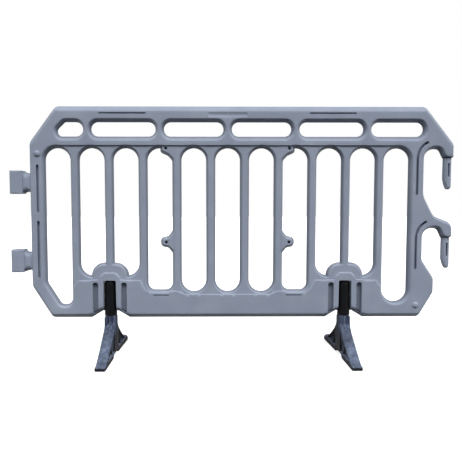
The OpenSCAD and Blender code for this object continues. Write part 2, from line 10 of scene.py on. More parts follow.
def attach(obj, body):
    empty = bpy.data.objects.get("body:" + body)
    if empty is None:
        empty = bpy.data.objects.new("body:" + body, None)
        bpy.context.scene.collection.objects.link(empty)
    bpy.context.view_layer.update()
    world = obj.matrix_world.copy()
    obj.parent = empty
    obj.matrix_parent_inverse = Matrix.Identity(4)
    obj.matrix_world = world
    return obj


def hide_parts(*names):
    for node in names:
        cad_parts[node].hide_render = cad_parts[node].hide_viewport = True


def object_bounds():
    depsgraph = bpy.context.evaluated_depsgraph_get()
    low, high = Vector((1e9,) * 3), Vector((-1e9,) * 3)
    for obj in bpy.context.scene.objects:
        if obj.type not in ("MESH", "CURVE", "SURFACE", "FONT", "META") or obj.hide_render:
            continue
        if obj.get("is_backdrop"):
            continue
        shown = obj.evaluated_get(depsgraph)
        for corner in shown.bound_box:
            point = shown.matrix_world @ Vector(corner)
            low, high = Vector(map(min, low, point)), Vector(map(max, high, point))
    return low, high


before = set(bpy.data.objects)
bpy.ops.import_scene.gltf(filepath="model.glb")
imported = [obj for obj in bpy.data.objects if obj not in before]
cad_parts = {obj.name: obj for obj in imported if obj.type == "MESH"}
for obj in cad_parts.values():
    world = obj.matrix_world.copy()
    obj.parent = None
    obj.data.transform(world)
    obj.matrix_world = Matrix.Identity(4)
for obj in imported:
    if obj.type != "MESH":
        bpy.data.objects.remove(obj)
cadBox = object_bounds()
print("cad nodes loaded:", len(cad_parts))

# All shapes are written in millimetres, with x counted from the middle of the bars.
frameShift = -24.5
milli = 0.001


# small helpers
def toMetres(points):
    pts = np.array(points, dtype=float)
    pts[:, 0] += frameShift
    return pts * milli


def buildObject(name, vertices, faces):
    mesh = bpy.data.meshes.new(name)
    mesh.from_pydata([tuple(v) for v in toMetres(vertices)], [], [tuple(int(i) for i in f) for f in faces])
    mesh.validate()
    mesh.update()
    mesh.polygons.foreach_set("use_smooth", [True] * len(mesh.polygons))
    obj = bpy.data.objects.new(name, mesh)
    bpy.context.scene.collection.objects.link(obj)
    return obj


def facesBetween(rings, around, closed=False):
    faces = []
    for i in range(rings if closed else rings - 1):
        j = (i + 1) % rings
        for k in range(around):
            m = (k + 1) % around
            faces.append((i * around + k, i * around + m, j * around + m, j * around + k))
    return faces


def fixNormals(obj, merge=0.0):
    bm = bmesh.new()
    bm.from_mesh(obj.data)
    if merge:
        bmesh.ops.remove_doubles(bm, verts=bm.verts, dist=merge)
    bmesh.ops.recalc_face_normals(bm, faces=bm.faces)
    bm.to_mesh(obj.data)
    bm.free()


def applyModifiers(obj):
    dg = bpy.context.evaluated_depsgraph_get()
    mesh = bpy.data.meshes.new_from_object(obj.evaluated_get(dg))
    obj.modifiers.clear()
    obj.data = mesh


def cutOrJoin(obj, other, operation):
    mod = obj.modifiers.new(operation.lower(), "BOOLEAN")
    mod.operation = operation
    mod.object = other
    mod.solver = "EXACT"
    applyModifiers(obj)
    bpy.data.objects.remove(other)


def joinAll(objects):
    bm = bmesh.new()
    for other in objects:
        bm.from_mesh(other.data)
    bm.to_mesh(objects[0].data)
    bm.free()
    for other in objects[1:]:
        bpy.data.objects.remove(other)
    return objects[0]


def smoothByAngle(obj, degrees):
    # splits the shading at sharp edges only
    mesh = obj.data
    mesh.polygons.foreach_set("use_smooth", [True] * len(mesh.polygons))
    bm = bmesh.new()
    bm.from_mesh(mesh)
    limit = math.radians(degrees)
    for e in bm.edges:
        e.smooth = not (len(e.link_faces) == 2 and e.calc_face_angle(0) > limit)
    bm.to_mesh(mesh)
    bm.free()


# loops in the panel's plane
def roundedLoop(corners, fine=3.5, coarse=11.0):
    # corners: x, z, radius and, if there is one, the bevel of the edge that leaves the corner
    n = len(corners)
    arcs = []
    for i in range(n):
        a, p, b = (Vector(corners[j][:2]) for j in (i - 1, i, (i + 1) % n))
        r = corners[i][2]
        before = corners[i - 1][3] if len(corners[i]) > 3 else 0
        after = corners[i][3] if len(corners[i]) > 3 else 0
        into, out = (p - a).normalized(), (b - p).normalized()
        turn = into.angle(out)
        if r < 0.01 or turn < 0.01:
            arcs.append([(p.x, p.y, before)])
            continue
        side = 1 if into.x * out.y - into.y * out.x > 0 else -1
        normal = Vector((-into.y, into.x)) * side
        start = p - into * r * math.tan(turn / 2)
        centre = start + normal * r
        steps = max(2, math.ceil(r * turn / fine))
        arc = []
        for k in range(steps + 1):
            t = turn * k / steps
            q = centre - normal * r * math.cos(t) + into * r * math.sin(t)
            arc.append((q.x, q.y, before + (after - before) * k / steps))
        arcs.append(arc)
    loop = []
    for i in range(n):
        loop += arcs[i]
        a, b = arcs[i][-1], arcs[(i + 1) % n][0]
        length = math.hypot(b[0] - a[0], b[1] - a[1])
        pieces = max(1, round(length / coarse))
        for k in range(1, pieces):
            t = k / pieces
            loop.append((a[0] + (b[0] - a[0]) * t, a[1] + (b[1] - a[1]) * t, a[2]))
        if length < 0.05:
            loop.pop()
    return np.array(loop)


def mirrored(loop):
    out = np.array(loop, dtype=float)
    out[:, 0] *= -1
    return out


def insideDistance(points, loop, reach=60.0):
    # distance to the loop, positive inside it, with the loop's own bevel at the nearest place
    dist = np.full(len(points), -reach)
    bevel = np.zeros(len(points))
    lo, hi = loop[:, :2].min(0) - reach, loop[:, :2].max(0) + reach
    near = np.where(((points > lo) & (points < hi)).all(1))[0]
    a = loop[:, :2]
    b = np.roll(a, -1, axis=0)
    ab = b - a
    length2 = np.maximum((ab ** 2).sum(1), 1e-12)
    bevelA, bevelB = loop[:, 2], np.roll(loop[:, 2], -1)
    for s in range(0, len(near), 4000):
        idx = near[s:s + 4000]
        p = points[idx]
        ap = p[:, None, :] - a[None]
        t = np.clip((ap * ab[None]).sum(2) / length2, 0, 1)
        d2 = ((ap - t[..., None] * ab[None]) ** 2).sum(2)
        best = d2.argmin(1)
        rows = np.arange(len(idx))
        d = np.sqrt(d2[rows, best])
        crosses = (a[None, :, 1] > p[:, None, 1]) != (b[None, :, 1] > p[:, None, 1])
        dz = np.where(np.abs(ab[:, 1]) < 1e-12, 1e-12, ab[:, 1])
        at = a[None, :, 0] + (p[:, None, 1] - a[None, :, 1]) * (ab[:, 0] / dz)[None]
        odd = ((p[:, None, 0] < at) & crosses).sum(1) % 2 == 1
        dist[idx] = np.clip(np.where(odd, d, -d), -reach, None)
        bevel[idx] = bevelA[best] + (bevelB[best] - bevelA[best]) * t[rows, best]
    return dist, bevel


def softMin(a, b, k):
    h = np.maximum(k - np.abs(a - b), 0) / k
    return np.minimum(a, b) - h * h * k / 4


def softStep(t):
    t = np.clip(t, 0, 1)
    return t * t * (3 - 2 * t)


def wallRise(d, level, wall, edgeRound):
    # steep wall with a round shoulder
    flat = np.clip(d / wall, 0, 1) * (level - edgeRound)
    u = np.clip((d - wall) / edgeRound, 0, 1)
    return np.where(d > 0, flat + edgeRound * np.sqrt(1 - (1 - u) ** 2), 0)


# grey moulded panel
panel = {
    "pitch": 152.0,          # bar to bar
    "barWidth": 41.5,
    "halfFrame": 28.0,       # half thickness of rails, stiles and beam
    "halfBar": 22.0,         # half thickness of the bars
    "top": 1123.0,
    "bottom": 172.0,
    "crown": 937.0,          # round tops of the tall gaps
    "draft": 0.45,           # slope of the gaps' bevels
    "rimBevel": 12.0,        # bevel of the outline where a corner names none
    "notchBevel": 16.0,
    "shoulder": 4.8,         # softness of every bevel's upper edge
    "slotHeight": 63.0,
    "slotMiddle": 1021.0,
    "slotSill": 19.0,        # how far the bevel under each slot runs
    "slotWebs": (-4.13, -2, 0, 2, 4.13),    # places of the webs, in bar pitches
    "slotWeb": 37.5,
    "slotStart": -765.0,
    "slotEnd": 878.0,
    "footX": 532.0,
    "roof": 342.0,
    "wave": 0.22,            # slight unevenness of the blow moulded skin
    "step": 11.0,            # spacing of the loose mesh points
    "longestEdge": 26.0,
}
gapBevel = panel["draft"] * panel["halfFrame"]
stileInner = 5.5 * panel["pitch"] - panel["barWidth"] / 2
stileOuter = stileInner + 71.5
hookTip = stileOuter + 132.75
pinX = hookTip - 28
flankX = stileOuter + 55
hookUpper, hookLower = 893.0, 535.0

# from the upper left corner to the right and round: x, z, radius, bevel
outlineCorners = [
    (-stileOuter, panel["top"] - 161, 40, 17), (-stileOuter + 119, panel["top"], 34, 22),
    (889, panel["top"], 34, 18), (hookTip, panel["top"] - 166, 22, 12),
    (hookTip, hookUpper, 11, 8), (pinX - 22.5, hookUpper, 3, 12),
    (stileOuter + 62, hookUpper + 41, 22, 12), (stileOuter, hookUpper + 41, 41, 12),
    (stileOuter, hookLower + 191, 87, 12), (stileOuter + 47, hookLower + 99, 40, 12),
    (hookTip, hookLower + 65, 36, 12), (hookTip, hookLower, 11, 8),
    (pinX - 22.5, hookLower, 3, 12), (stileOuter + 63, hookLower + 43, 26, 12),
    (stileOuter, hookLower + 43, 42, 12), (stileOuter, hookLower - 102, 30, 12),
    (flankX, hookLower - 185, 30, 12), (flankX, panel["bottom"] + 112, 36, 16),
    (flankX - 66, panel["bottom"], 26, 18), (-stileOuter + 90, panel["bottom"], 26, 16),
    (-stileOuter, panel["bottom"] + 144, 44, 12),
]


def tallGap(x, floor, cornerR):
    w = (panel["pitch"] - panel["barWidth"]) / 2
    return roundedLoop([(x - w, panel["crown"], w - 0.01), (x + w, panel["crown"], w - 0.01),
                        (x + w, floor, cornerR), (x - w, floor, cornerR)])


def socketEndGap():
    # its floor is cut by the slope of the corner
    w = (panel["pitch"] - panel["barWidth"]) / 2
    x = -5 * panel["pitch"]
    return roundedLoop([(x - w, panel["crown"], w - 0.01), (x + w, panel["crown"], w - 0.01), (x + w, 233, 27),
                        (x - w + 63, 233, 24), (x - w, 334, 40)])


def railSlots():
    r = panel["slotHeight"] / 2
    z = panel["slotMiddle"]
    webs = [w * panel["pitch"] for w in panel["slotWebs"]]
    half = panel["slotWeb"] / 2
    starts = [panel["slotStart"]] + [w + half for w in webs]
    ends = [w - half for w in webs] + [panel["slotEnd"]]
    loops = []
    for i, (x0, x1) in enumerate(zip(starts, ends)):
        left = [(x0, z - r, r - 0.5, gapBevel), (x0, z + r, r - 0.5, gapBevel)]
        if i == 0:
            left = [(x0 + 14, z - r, 18, gapBevel), (x0 + 3, z - 5, 20, gapBevel), (x0 + 40, z + r, 14, gapBevel)]
        right = [(x1, z + r, r - 0.5, gapBevel), (x1, z - r, r - 0.5, panel["slotSill"])]
        loops.append(roundedLoop(left + right))
    return loops


# the tall gaps by their place in bar pitches, height of their floor and radius of its corners
gapStyles = (((-4, -3, 3, 4), 364, 55.24), ((-2, 2), 300, 32), ((-1, 0, 1), 292, 55.24), ((5,), 244, 55.24))
gapLoops = [socketEndGap()]
for places, floor, cornerR in gapStyles:
    gapLoops += [tallGap(i * panel["pitch"], floor, cornerR) for i in places]
gapLoops += railSlots()

# cuts that are open at the lower edge begin here
underPanel = 150


def atFoot(side, corners):
    # corners that are written from the middle of a foot
    return [(side * panel["footX"] + x, z, r) for x, z, r in corners]


def bothSides(right):
    # corners of the right half, after their mirror images
    return [(-x, z, r) for x, z, r in reversed(right)] + right


# notches in the lower edge over the feet, bevelled like the edge itself
notch = {"mouthHalf": 92, "roofHalf": 36, "mouth": 168, "roof": 202, "corner": 4}
notchCorners = bothSides([(notch["roofHalf"], notch["roof"], notch["corner"]),
                          (notch["mouthHalf"], notch["mouth"], 0), (notch["mouthHalf"], underPanel, 0)])
notchLoops = [roundedLoop(atFoot(s, notchCorners)) for s in (-1, 1)]

# ears for a sign board, at the left bar; the right ones are mirrored
ears = {"x": 276.0, "heights": (516.0, 936.0), "half": 21.5, "wall": 9.5, "edgeRound": 3.5, "holeR": 6.5,
        "holeDepth": 31.5, "tip": -302.0, "neck": -268, "barEdge": -248.75, "root": -232.0}
tip, neck, barEdge, root = ears["tip"], ears["neck"], ears["barEdge"], ears["root"]
lowEar = roundedLoop([(root, 592, 0), (barEdge, 592, 0), (barEdge, 567, 18), (neck, 543.5, 14), (tip, 536.5, 20),
                      (tip, 496, 20), (neck, 490, 14), (barEdge, 467, 18), (barEdge, 442, 0), (root, 442, 0)],
                     2.5, 6)
highEar = roundedLoop([(tip, 956, 0), (tip, 919, 16), (neck, 903.5, 14), (barEdge, 883, 22), (barEdge, 858, 0),
                       (root, 858, 0), (root, 956, 0)], 2.5, 6)
# all that stands in the gaps or beyond the outline, as loop, half thickness, wall and round shoulder
addedShapes = [(loop, ears["half"], ears["wall"], ears["edgeRound"])
               for loop in (lowEar, mirrored(lowEar), highEar, mirrored(highEar))]

# boss pads over the windows
boss = {"x": 85, "top": 423, "bottom": 318, "topRound": 61, "bottomRound": 8, "half": 22, "wall": 9.9,
        "edgeRound": 3}
bossCorners = [(x, boss["top"], boss["topRound"]) for x in (-boss["x"], boss["x"])]
bossCorners += [(x, boss["bottom"], boss["bottomRound"]) for x in (boss["x"], -boss["x"])]
for s in (-1, 1):
    addedShapes.append((roundedLoop(atFoot(s, bossCorners)), boss["half"], boss["wall"], boss["edgeRound"]))

# socket lugs, each on a bridge to the stile
lug = {"left": -stileOuter - 83.75, "right": -stileOuter - 26.0, "height": 105.0, "foots": (380.0, 733.0),
       "half": 30.0, "wall": 1.0, "edgeRound": 5, "boreX": -stileOuter - 47.75, "boreR": 22.5}
bridge = {"top": 99, "bottom": 5, "half": 27, "wall": 3, "edgeRound": 21}
for z in lug["foots"]:
    block = [(lug["left"], z + lug["height"], 3), (lug["right"], z + lug["height"], 6), (lug["right"], z, 6),
             (lug["left"], z, 3)]
    addedShapes.append((roundedLoop(block, 2, 6), lug["half"], lug["wall"], lug["edgeRound"]))
    top, bottom = z + bridge["top"], z + bridge["bottom"]
    web = [(lug["right"] - 14, top - 1, 0), (lug["right"] + 4, top, 10), (-stileOuter - 3, top - 7, 12),
           (-stileOuter + 9, top, 6), (-stileOuter + 16, top, 0), (-stileOuter + 16, bottom - 1, 0),
           (-stileOuter + 9, bottom - 1, 6), (-stileOuter - 3, bottom + 5, 12), (lug["right"] + 4, bottom, 10),
           (lug["right"] - 14, bottom, 0)]
    addedShapes.append((roundedLoop(web, 2, 6), bridge["half"], bridge["wall"], bridge["edgeRound"]))

# openings with steep walls: the windows over the feet
window = {"lowHalf": 29.4, "highHalf": 27.5, "corner": 7, "edgeRound": 1.6}
windowCorners = bothSides([(window["highHalf"], panel["roof"], window["corner"]),
                           (window["lowHalf"], underPanel, 0)])
steepVoids = [(roundedLoop(atFoot(s, windowCorners), 2, 8), window["edgeRound"]) for s in (-1, 1)]

# upper edge of beam and pads, where the frame is thicker than the bars
pitch = panel["pitch"]
roof = panel["roof"]
footX = panel["footX"]
beamLine = [(4.51 * pitch, roof - 22), (4.4 * pitch, roof + 2), (footX + 50, roof + 4), (footX + 34, roof + 35),
            (footX - 34, roof + 35), (footX - 50, roof + 4), (2.61 * pitch, roof + 2), (2.42 * pitch, 298),
            (2.3 * pitch, 289), (1.75 * pitch, 289), (1.61 * pitch, 297), (1.44 * pitch, 291), (1.28 * pitch, 280)]
fieldTop = panel["crown"] + 11
fieldCorners = [(-5 * pitch, fieldTop, 0), (5 * pitch, fieldTop, 0), (5 * pitch, roof - 22, 0)]
fieldCorners += [(x, z, 6) for x, z in beamLine] + [(-x, z, 6) for x, z in reversed(beamLine)]
fieldCorners += [(-5 * pitch, roof - 22, 0)]
barField = roundedLoop(fieldCorners)


def slit(points, width):
    # narrow closed loop round a line of points
    pts = [Vector(p) for p in points]
    left, right = [], []
    for i, p in enumerate(pts):
        d = (pts[min(i + 1, len(pts) - 1)] - pts[max(i - 1, 0)]).normalized()
        n = Vector((-d.y, d.x)) * width / 2
        if i == 0:
            p = p - d * width / 2
        if i == len(pts) - 1:
            p = p + d * width / 2
        left.append((p.x + n.x, p.y + n.y, width * 0.45 if i in (0, len(pts) - 1) else 0))
        right.append((p.x - n.x, p.y - n.y, width * 0.45 if i in (0, len(pts) - 1) else 0))
    return roundedLoop(left + right[::-1], 1.6, 9)


def hookSlit(z):
    # straight up the stile, then round the mouth of the hook; the upper hook's run is longer
    cx, r = stileOuter + 43, stileOuter + 43 - (stileInner + 33)
    run = 156 if z > hookLower else 136
    bend = [(cx + r * math.cos(math.radians(a)), z + r * math.sin(math.radians(a))) for a in range(178, 114, -6)]
    return [(cx - r, z - run), (cx - r, z - 80), (cx - r, z - 8)] + bend


# cuts into both faces, as loop, depth and width of the cut's wall
channel = {"offset": 64, "half": 11.5, "top": 334, "corner": 10, "depth": 19, "wall": 2.6}
sideSlit = {"x": -845.5, "width": 11.0, "depth": 15}
railSlit = {"z": 1090, "width": 5.5, "depth": 8}
beamSlit = {"z": 276.5, "width": 5.0, "depth": 6}
plainField = {"half": 86, "bottom": 1075, "top": 1092, "corner": 2, "depth": 0.8, "wall": 1.0}
slitWall = 1.2
grooves = []
for s in (-1, 1):
    for offset in (-channel["offset"], channel["offset"]):
        x0, x1 = s * footX + offset - channel["half"], s * footX + offset + channel["half"]
        corners = [(x0, underPanel, 0), (x0, channel["top"], channel["corner"]),
                   (x1, channel["top"], channel["corner"]), (x1, underPanel, 0)]
        grooves.append((roundedLoop(corners, 2.5, 8), channel["depth"], channel["wall"]))
    for style, places in ((railSlit, (569, 470, 367)), (beamSlit, (332, 300, 267))):
        line = [(s * x, style["z"]) for x in places]
        grooves.append((slit(line, style["width"]), style["depth"], slitWall))
for places in ((360, 480, 607), (657, 760, 857)):
    line = [(sideSlit["x"], z) for z in places]
    grooves.append((slit(line, sideSlit["width"]), sideSlit["depth"], slitWall))
for z in (hookUpper - 3, hookLower):
    grooves.append((slit(hookSlit(z), sideSlit["width"]), sideSlit["depth"], slitWall))
corners = [(plainField["half"], plainField[edge], plainField["corner"]) for edge in ("top", "bottom")]
grooves.append((roundedLoop(bothSides(corners), 2, 8), plainField["depth"], plainField["wall"]))


def panelField(points):
    # half thickness of the panel at each point, and how far inside its material the point is
    edge, bevel = insideDistance(points, outlineLoop)
    inside = edge.copy()
    bevel = np.where(bevel < 1, panel["rimBevel"], bevel)
    rise = edge * panel["halfFrame"] / bevel
    for loop in gapLoops:
        d, wide = insideDistance(points, loop)
        wide = np.where(wide < 1, gapBevel, wide)
        inside = np.minimum(inside, -d)
        rise = np.minimum(rise, -d * panel["halfFrame"] / wide)
    for loop in notchLoops:
        d, _ = insideDistance(points, loop)
        inside = np.minimum(inside, -d)
        rise = np.minimum(rise, -d * panel["halfFrame"] / panel["notchBevel"])
    field, _ = insideDistance(points, barField)
    level = panel["halfFrame"] - (panel["halfFrame"] - panel["halfBar"]) * softStep(field / 3.0 + 0.5)
    height = np.maximum(softMin(rise, level, panel["shoulder"]), 0)
    height = np.where(inside > 0, height, 0)
    for loop, half, wall, edgeRound in addedShapes:
        d, _ = insideDistance(points, loop)
        inside = np.maximum(inside, d)
        part = wallRise(d, half, wall, edgeRound)
        blend = (height ** 6 + part ** 6) ** (1 / 6)
        both = np.minimum(blend, np.maximum(level, half))
        height = np.where(np.minimum(height, part) > 0, both, np.maximum(height, part))
    for loop, depth, wall in grooves:
        d, _ = insideDistance(points, loop)
        height = height - depth * softStep(d / wall + 0.5) * (height > depth)
    for loop, edgeRound in steepVoids:
        d, _ = insideDistance(points, loop)
        inside = np.minimum(inside, -d)
        drop = edgeRound * (1 - np.sqrt(1 - np.clip(1 - (-d - 0.5) / edgeRound, 0, 1) ** 2))
        height = np.where(-d < 0.5, np.clip(-d / 0.5, 0, 1) * (height - edgeRound), height - drop)
    return np.maximum(height, 0), inside


def offsetRing(loop, distance):
    # the loop moved along its own normals, inwards for a positive distance
    p = loop[:, :2]
    t = np.roll(p, -1, axis=0) - np.roll(p, 1, axis=0)
    t /= np.maximum(np.linalg.norm(t, axis=1)[:, None], 1e-9)
    n = np.stack([-t[:, 1], t[:, 0]], 1)
    area = 0.5 * np.sum(p[:, 0] * np.roll(p[:, 1], -1) - np.roll(p[:, 0], -1) * p[:, 1])
    if area < 0:
        n = -n
    return p + n * distance


def makePanel():
    points, edges = [], []

    def addLoop(pts, keep=None):
        # points of a loop that are kept, joined where they are neighbours
        keep = np.ones(len(pts), bool) if keep is None else keep
        index = np.full(len(pts), -1)
        for i, q in enumerate(pts):
            if keep[i]:
                index[i] = len(points)
                points.append((float(q[0]), float(q[1])))
        for i in range(len(pts)):
            j = (i + 1) % len(pts)
            if index[i] >= 0 and index[j] >= 0 and np.hypot(*(pts[i][:2] - pts[j][:2])) < panel["longestEdge"]:
                edges.append((int(index[i]), int(index[j])))

    def nearestEdge(pts):
        best = np.full(len(pts), 1e9)
        for loop in [outlineLoop] + gapLoops + notchLoops:
            d, _ = insideDistance(pts, loop)
            best = np.minimum(best, np.abs(d))
        return best

    steep = [s[0] for s in addedShapes] + [s[0] for s in steepVoids] + notchLoops
    for loop in [outlineLoop] + gapLoops + steep:
        addLoop(loop[:, :2])
    print("panel outline and openings:", len(points), "points")

    # rings that follow the bevels; a point stays where its own edge is nearest and material is round it
    for loop in [outlineLoop] + gapLoops + notchLoops:
        isOutline = loop is outlineLoop
        size = np.where(loop[:, 2] > 0, loop[:, 2], panel["rimBevel"] if isOutline else gapBevel)
        for share in (0.16, 0.38, 0.6, 0.78, 0.92, 1.08, 1.28):
            d = size * share
            p = loop[:, :2]
            shifted = offsetRing(loop, 1.0) - p
            ring = p + shifted * (d if isOutline else -d)[:, None]
            _, inside = panelField(ring)
            keep = (nearestEdge(ring) >= d * 0.97) & (inside > 0.6)
            addLoop(ring, keep)
    for loop, half, wall, edgeRound in addedShapes:
        for d in (wall, wall + edgeRound * 0.15, wall + edgeRound * 0.5, wall + edgeRound, wall + edgeRound + 3):
            ring = offsetRing(loop, d)
            back, _ = insideDistance(ring, loop)
            addLoop(ring, (back > d * 0.95) & (nearestEdge(ring) > 0.8))
    for loop, edgeRound in steepVoids:
        for d in (0.5, 0.5 + edgeRound * 0.2, 0.5 + edgeRound * 0.55, 0.5 + edgeRound, 3.5 + edgeRound):
            ring = offsetRing(loop, -d)
            back, _ = insideDistance(ring, loop)
            _, inside = panelField(ring)
            addLoop(ring, (-back > d * 0.95) & (inside > 0.3))
    for loop, depth, wall in grooves:
        for d in (-wall / 2, wall / 2):
            ring = offsetRing(loop, d)
            _, inside = panelField(ring)
            addLoop(ring, inside > 0.6)
    for d in (-1.5, 1.5):
        ring = offsetRing(barField, d)
        _, inside = panelField(ring)
        addLoop(ring, inside > 0.6)

    # loose points between them
    step, row, cellSize = panel["step"], panel["step"] * 0.87, 6
    xs, zs = np.arange(-990, 1030, step), np.arange(panel["bottom"], panel["top"] + 2, row)
    grid = np.array([(x + (step / 2 if j % 2 else 0), z) for j, z in enumerate(zs) for x in xs])
    _, inside = panelField(grid)
    grid = grid[(inside > 6) & (nearestEdge(grid) > 15)]
    placed = {(round(x / cellSize), round(z / cellSize)) for x, z in points}
    for x, z in grid:
        cell = (round(x / cellSize), round(z / cellSize))
        if cell not in placed:
            points.append((float(x), float(z)))
    print("panel points in all:", len(points))

    flat, _, tris = delaunay_2d_cdt([Vector(p) for p in points], edges, [], 0, 1e-4)[:3]
    flat = np.array([(p.x, p.y) for p in flat])
    tris = np.array([t for t in tris if len(t) == 3])
    centres = flat[tris].mean(1)
    _, inside = panelField(centres)
    tris = tris[inside > 0]
    a, b, c = (flat[tris[:, k]] for k in range(3))
    area = (b[:, 0] - a[:, 0]) * (c[:, 1] - a[:, 1]) - (c[:, 0] - a[:, 0]) * (b[:, 1] - a[:, 1])
    tris = np.where((area < 0)[:, None], tris[:, ::-1], tris)

    # rim vertices lie on the parting line and are shared by both faces
    count = {}
    for t in tris:
        for i in range(3):
            e = (t[i], t[(i + 1) % 3])
            key = (min(e), max(e))
            count[key] = count.get(key, 0) + 1
    rim = {i for edge, n in count.items() if n == 1 for i in edge}
    used = np.unique(tris)
    height, _ = panelField(flat)
    wave = np.zeros(len(flat))
    for i in used:
        x, z = flat[i]
        wave[i] = noise.noise(Vector((x / 85, z / 85, 3.1))) + 0.6 * noise.noise(Vector((x / 31, z / 31, 7.7)))
    height = np.maximum(height + panel["wave"] * wave * np.clip(height / 12, 0, 1), 0.4)
    front, back = {}, {}
    vertices = []
    for i in used:
        x, z = flat[i]
        if i in rim:
            front[i] = back[i] = len(vertices)
            vertices.append((x, 0.0, z))
        else:
            front[i] = len(vertices)
            vertices.append((x, -height[i], z))
            back[i] = len(vertices)
            vertices.append((x, height[i], z))
    faces = []
    for i, j, k in tris:
        faces.append((front[i], front[j], front[k]))
        faces.append((back[k], back[j], back[i]))
    print("panel mesh:", len(vertices), "vertices,", len(faces), "faces")
    return buildObject("greyPanel", vertices, faces)


def latheObject(name, profile, centre, segments=48, axis="Z"):
    # profile: radius and height pairs, closed on the axis or into a ring
    rows = []
    for r, h in profile:
        row = []
        for k in range(segments):
            t = 2 * math.pi * k / segments
            if axis == "Z":
                row.append((centre[0] + r * math.cos(t), centre[1] + r * math.sin(t), centre[2] + h))
            else:
                row.append((centre[0] + r * math.cos(t), centre[1] + h, centre[2] + r * math.sin(t)))
        rows.append(row)
    closed = profile[0][0] > 0.01 and profile[-1][0] > 0.01
    obj = buildObject(name, [v for row in rows for v in row], facesBetween(len(rows), segments, closed))
    fixNormals(obj, 2e-6)
    return obj


outlineLoop = roundedLoop(outlineCorners)
greyPanel = makePanel()
drills = []
for z in lug["foots"]:
    r, h = lug["boreR"], lug["height"]
    profile = [(0, -2), (r + 3, -2), (r + 3, 0), (r + 0.8, 1), (r, 3), (r, h - 3), (r + 0.8, h - 1), (r + 3, h),
               (r + 3, h + 2), (0, h + 2)]
    drills.append(latheObject("bore", profile, (lug["boreX"], 0, z), 56))
for x in (-ears["x"], ears["x"]):
    for z in ears["heights"]:
        r, face = ears["holeR"], -ears["half"]
        floor = face + ears["holeDepth"]
        profile = [(0, face - 9), (r + 2, face - 9), (r + 2, face - 1), (r + 0.5, face + 0.4), (r, face + 1.4),
                   (r, floor - 0.8), (r - 0.8, floor), (0, floor)]
        drills.append(latheObject("earHole", profile, (x, 0, z), 28, "Y"))
cutOrJoin(greyPanel, joinAll(drills), "DIFFERENCE")
smoothByAngle(greyPanel, 62)
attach(greyPanel, "panel")
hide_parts("barrier_panel")
print("grey panel done:", len(greyPanel.data.polygons), "faces")

# hook pins and dome plugs
pins = {"radius": 18.5, "length": 139.0, "nose": 16, "slope": 52.0, "slopeAngle": 20.5, "segments": 96,
        "slitLength": 58.0, "slitWidth": 6.0, "slitDepth": 11.0, "slitMiddle": 54}


def makeHookPin(name, z):
    r, length, nose, segments = pins["radius"], pins["length"], pins["nose"], pins["segments"]
    vertices = []
    heights = [0.0, 0.8] + list(np.linspace(3, length - nose, 44))
    heights += [length - nose + nose * math.sin(math.radians(a)) for a in np.linspace(8, 89, 16)]
    for h in heights:
        if h < 1:
            radius = r - 1.2 + 1.2 * h / 0.8
        elif h > length - nose:
            radius = r * (0.34 + 0.66 * math.sqrt(max(0.0, 1 - ((h - length + nose) / nose) ** 2)))
        else:
            radius = r
        if 10 < h < 14:
            radius -= 0.6
        for k in range(segments):
            t = 2 * math.pi * k / segments
            x, y = radius * math.cos(t), radius * math.sin(t)
            # the inner side slopes towards the tip
            limit = -r + max(0.0, h - (length - pins["slope"])) * math.tan(math.radians(pins["slopeAngle"]))
            x = max(x, limit + 0.04 * (x + r))
            # slit down the front and the back
            along = softStep(np.array((pins["slitLength"] / 2 - abs(h - pins["slitMiddle"])) / 4 + 0.5))
            across = softStep(np.array((pins["slitWidth"] / 2 - abs(x - 2)) / 1.6 + 0.5))
            y -= math.copysign(pins["slitDepth"] * float(along * across), y)
            vertices.append((pinX + x, y, z - h))
    n = len(heights)
    faces = facesBetween(n, segments)
    faces.append(tuple(range(segments)))
    faces.append(tuple((n - 1) * segments + k for k in range(segments))[::-1])
    obj = buildObject(name, vertices, faces)
    fixNormals(obj)
    smoothByAngle(obj, 50)
    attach(obj, "panel")
    return obj


upperPin = makeHookPin("upperHookPin", hookUpper)
lowerPin = makeHookPin("lowerHookPin", hookLower)
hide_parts("hook_pin_upper")
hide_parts("hook_pin_lower")

domes = {"radius": 15.0, "height": 8.0, "face": -28.0}


def makeDome(name, x, z):
    r, h = domes["radius"], domes["height"]
    # shank, rim, then a cone with a rounded nose
    profile = [(0, 4), (8, 4), (8, 0.4), (r, 0.2), (r, -0.5), (r - 0.5, -1.2), (r - 3.2, -h + 4.1),
               (r - 6.0, -h + 1.9), (r - 7.6, -h + 1.0), (r - 9.4, -h + 0.45), (r - 12.0, -h + 0.15), (0, -h)]
    obj = latheObject(name, profile, (x, domes["face"], z), 48, "Y")
    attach(obj, "panel")
    return obj


upperDome = makeDome("upperDomePlug", -stileOuter + 42, 911)
lowerDome = makeDome("lowerDomePlug", stileOuter - 35, 230)
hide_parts("dome_plug_upper")
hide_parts("dome_plug_lower")
print("hook pins and dome plugs done")

# rubber feet, with a slim front arm and a wider rear arm, and the posts on them
foot = {
    "reach": 250.0, "frontHalf": 23.0, "rearHalf": 34.3, "ridgeHalf": 25.0, "neck": 26.5, "top": 183.0,
    # upper edge of an arm from the side, as distance from the middle and height
    "line": [(0, 183), (23.5, 183), (25.5, 181.5), (26.2, 160), (28, 148), (33, 139), (42, 129), (58, 115),
             (102, 87), (152, 57)],
    "frontToe": [(204, 28), (222, 21.5), (240, 18.6), (246, 17), (249.5, 14.6)],
    "rearToe": [(204, 34), (222, 28), (246, 25), (249.5, 22.5)],
    "toeCorner": 10.0,
    "base": 22.0,            # height of the wide base under the ridge
    "pocket": 8.5,           # depth of the hollows in the sides
    "rim": 10.0,
    "archFrom": -80.0, "archTo": 44.0, "archRise": 15.0, "archEnd": 15,
    "recess": 44.0, "recessR": 18.5,
    "slices": 151, "sideRows": 30,
}
